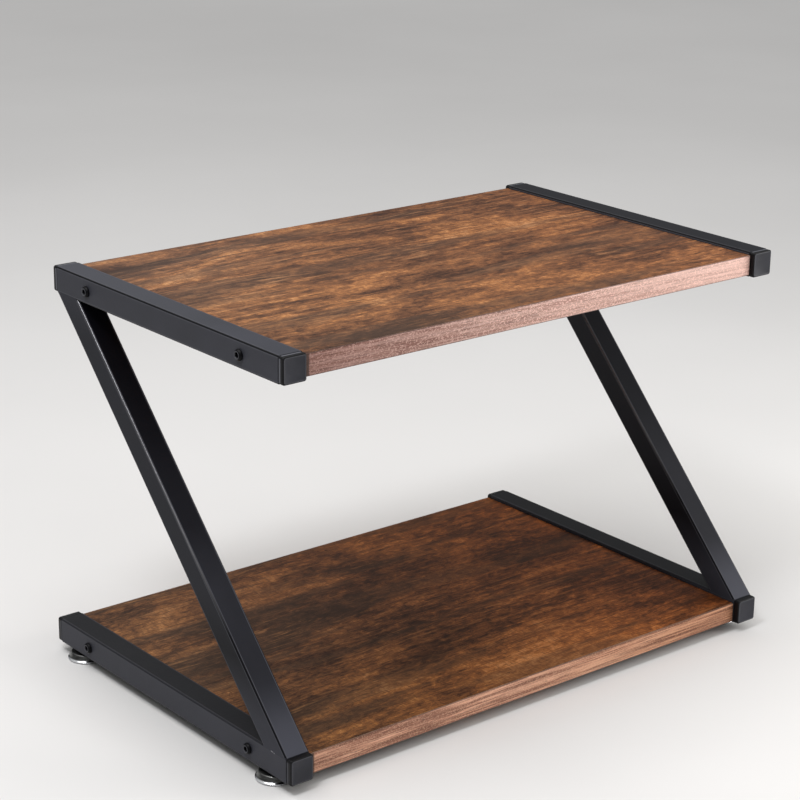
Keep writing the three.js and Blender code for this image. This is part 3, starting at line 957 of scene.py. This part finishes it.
def make_pad(foot, place, pad_rubber):
    """The rubber pad, with rings of grooves in its sole."""
    low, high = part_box(f"{foot}_pad")
    radius, thick = (high.x - low.x) / 2, high.z
    chamfer = groove_depth = 0.5 * MM
    section = [
        (0, thick),
        (radius - chamfer, thick),
        (radius, thick - chamfer),
        (radius, chamfer),
        (radius - chamfer, 0),
    ]
    for groove in range(4):
        edge = radius - 2.2 * MM - groove * 2.8 * MM
        section += [
            (edge, 0),
            (edge - 0.2 * MM, groove_depth),
            (edge - 1.0 * MM, groove_depth),
            (edge - 1.2 * MM, 0),
        ]
    section.append((0, 0))
    mesh = turned_mesh(f"{foot}_pad", section, 72, place)
    add_piece(f"{foot}_rubber_pad", mesh, pad_rubber, foot, "rubber", f"{foot}_pad", sharp=40)


def make_rivet_nut(foot, side, place, zinc):
    """The rivet nut in the bottom rail: a flange under the wall, a bulge above it, a plain bore."""
    low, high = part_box(f"{foot}_nut")
    bore, barrel, flange, bulge = 4.15 * MM, 5.4 * MM, 7.4 * MM, 6.8 * MM
    rail_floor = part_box(f"{side}_bottom_rail")[0].z
    flange_top = rail_floor - 0.02 * MM
    wall_top = rail_floor + WALL + 0.2 * MM
    section = rounded([
        (bore, low.z, 0.3 * MM),
        (flange, low.z, 0.35 * MM),
        (flange, flange_top, 0),
        (barrel, flange_top, 0),
        (barrel, wall_top, 0),
        (bulge, wall_top + 0.3 * MM, 0.6 * MM),
        (barrel, wall_top + 2.5 * MM, 0.5 * MM),
        (barrel, high.z, 0.3 * MM),
        (bore, high.z, 0.3 * MM),
    ], steps=4, closed=True)
    mesh = turned_mesh(f"{foot}_nut", section, 64, place)
    add_piece(f"{foot}_rivet_nut", mesh, zinc, FRAME, "zinc_plated_steel", f"{foot}_nut", sharp=40)


def make_foot(end_name, side, chrome, pad_rubber, zinc):
    foot = f"{end_name}_{side}_foot"
    middle = centre_of(f"{foot}_cup")
    place = Matrix.Translation((middle.x, middle.y, 0))
    make_cup(foot, place, chrome)
    make_pad(foot, place, pad_rubber)
    threaded_stud(f"{foot}_threaded_stud", f"{foot}_stud", zinc, f"{end_name}_{side}_stud")
    make_rivet_nut(foot, side, place, zinc)


# ---------------------------------------------------------------- the whole stand

def make_coats():
    """The powder coats of the top rails, the bottom rails and the legs. The bottom rails' coat is a copy of
    the top rails' with painted shade: darker tops and fainter painted corner lines.
    """
    # pale and black are the corner lines' painted highlight and painted shade; the top shades darken the right
    # top rail's top and all bottom rails' tops
    pale, black = (0.085, 0.086, 0.100), (0.004, 0.004, 0.005)
    low_corner_highlight, low_crest_shade = (0.050, 0.051, 0.060), (0.018, 0.018, 0.022)
    right_top_shade, all_top_shade = [(0.40, 0.0), (0.56, 0.75)], [(0.0, 0.9), (0.6, 0.9)]
    return {
        "top": powder_coat("powder_coat_rail", 0.15, pale, black, right_top_shade),
        "bottom": powder_coat("powder_coat_low_shaded", 0.15, low_corner_highlight, low_crest_shade, all_top_shade),
        "leg": powder_coat("powder_coat_leg", 0.08, pale, black),
    }


def make_woods():
    """The wood prints of the two boards."""
    upper_tints = ((1.0, 1.0, 1.0), (1.0, 0.92, 0.90))
    upper_patches = [
        (-0.25, -0.15, 0.20, 0.10, -0.10),
        (-0.20, 0.08, 0.12, 0.08, 0.04),
        (-0.24, 0.175, 0.14, 0.035, -0.08),
        (0.04, -0.13, 0.10, 0.06, -0.05),
        (0.18, -0.10, 0.10, 0.07, 0.045),
    ]
    # Partly a tint of the print, partly painted shade darkening the lower board
    lower_tints_and_shade = ((0.74, 0.73, 0.66), (0.80, 0.54, 0.32))
    lower_patches = [
        (-0.24, 0.14, 0.06, 0.035, 0.05),
        (-0.23, 0.19, 0.14, 0.025, -0.07),
        (-0.24, 0.05, 0.10, 0.045, -0.09),
        (-0.25, -0.01, 0.06, 0.018, 0.08),
        (-0.24, -0.14, 0.16, 0.07, -0.05),
        (0.02, -0.13, 0.20, 0.08, 0.06),
        (0.24, -0.10, 0.08, 0.12, -0.07),
    ]
    return {
        "top": wood_laminate("wood_upper", (0.3, 0.1, 0.0), upper_tints, upper_patches, 0.54, 0.45),
        "bottom": wood_laminate("wood_lower", (2.6, 0.2, 0.9), lower_tints_and_shade, lower_patches, 0.64, 0.5),
    }


def make_tapes():
    """The edge tapes of the two boards."""
    upper, lower = "edge_band_upper", "edge_band_lower"
    upper_tones = ((0.76, 0.50, 0.43), (0.63, 0.39, 0.32), (0.43, 0.225, 0.18))
    lower_tones = ((0.84, 0.47, 0.315), (0.62, 0.31, 0.20), (0.28, 0.125, 0.081))
    # The right ends: painted light on the upper tape; on the lower a warmer tint, partly painted shade
    right_painted_light = ((0.91, 0.60, 0.52), 0.36, "MIX")
    right_tint_and_shade = ((0.70, 0.63, 0.54), 1.0, "MULTIPLY")
    return {
        "top": edge_band(upper, (0.2, 0, 0.1), upper_tones, 0.75, 0.85, right_painted_light, "upper_shelf_board"),
        "bottom": edge_band(lower, (0.9, 0, 0.6), lower_tones, 0.3, 0.2, right_tint_and_shade, "lower_shelf_board"),
    }


def build():
    coats, woods, tapes = make_coats(), make_woods(), make_tapes()
    plastic, oxide, zinc, bare = cap_plastic(), black_oxide(), zinc_plate(), bare_weld()
    chrome, pad_rubber, raw = chrome_plate(), rubber(), chipboard()
    for side in SIDES:
        for level in LEVELS:
            make_rail(side, level, coats[level])
            for end_name in ENDS:
                make_cap(side, level, end_name, plastic)
                make_bolt(side, level, end_name, oxide)
                # The threaded inserts are hidden in the boards and keep their CAD shape
                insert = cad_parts[f"{side}_{level}_{end_name}_insert"]
                insert.material_slots[0].material = zinc
        foot, head, half_width = make_leg(side, coats["leg"])
        make_welds(side, foot, head, half_width, coats["leg"], bare)
        for end_name in ENDS:
            make_foot(end_name, side, chrome, pad_rubber, zinc)
    for level in LEVELS:
        make_board(level, woods[level], raw, tapes[level])


make_camera()
make_studio()
build()
